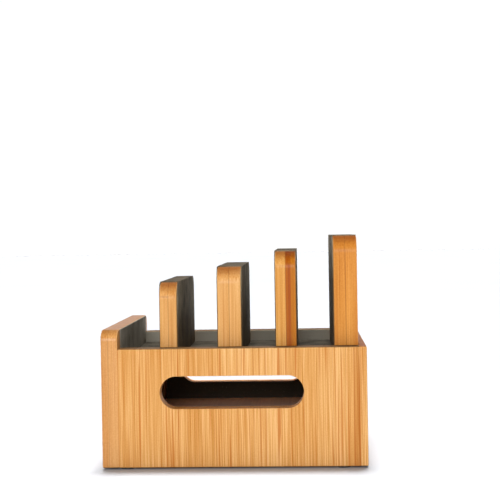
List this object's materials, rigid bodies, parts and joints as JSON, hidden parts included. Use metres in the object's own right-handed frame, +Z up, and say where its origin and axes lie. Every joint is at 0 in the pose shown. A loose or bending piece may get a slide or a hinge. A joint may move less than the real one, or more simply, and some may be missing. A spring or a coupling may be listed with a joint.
{
  "type": "charging station organizer",
  "caption": "Bamboo box with a raised front lip and a long cable slot in each side, and a lift-out dock of lined upright dividers that rise in steps towards the back.",
  "frame": {"origin": "on the desk, under the middle of the box", "axes": "+X from the low front lip to the tall back divider, Y across the width, +Z up"},
  "size_m": [0.131, 0.11, 0.114],
  "materials": {
    "bamboo": "clear satin lacquer over edge-glued bamboo strips",
    "lining": "thin matte dark grey rubber sheet, finely grained",
    "dowel": "plain, glued",
    "steel": "plain",
    "rubber": "matte"
  },
  "bodies": {
    "box": {"front_wall": "bamboo", "back_wall": "bamboo", "side_left": "bamboo", "side_right": "bamboo", "floor_board": "bamboo", "post_front_left": "bamboo", "post_front_right": "bamboo", "post_back_left": "bamboo", "post_back_right": "bamboo", "liner_front": "lining", "liner_left": "lining", "liner_right": "lining", "dowels": "dowel", "back_pins": "steel", "feet": "rubber"},
    "dock": {"deck_board": "bamboo", "divider_1": "bamboo", "divider_2": "bamboo", "divider_3": "bamboo", "divider_4": "bamboo", "divider_wrap_1": "lining", "divider_wrap_2": "lining", "divider_wrap_3": "lining", "divider_wrap_4": "lining", "channel_mat_1": "lining", "channel_mat_2": "lining", "channel_mat_3": "lining", "channel_mat_4": "lining", "dock_screws": "steel"}
  },
  "joints": [
    {"name": "dock_lift", "type": "slide", "parent": "box", "child": "dock", "axis": [0, 0, 1], "range_m": [0, 0.04]}
  ]
}
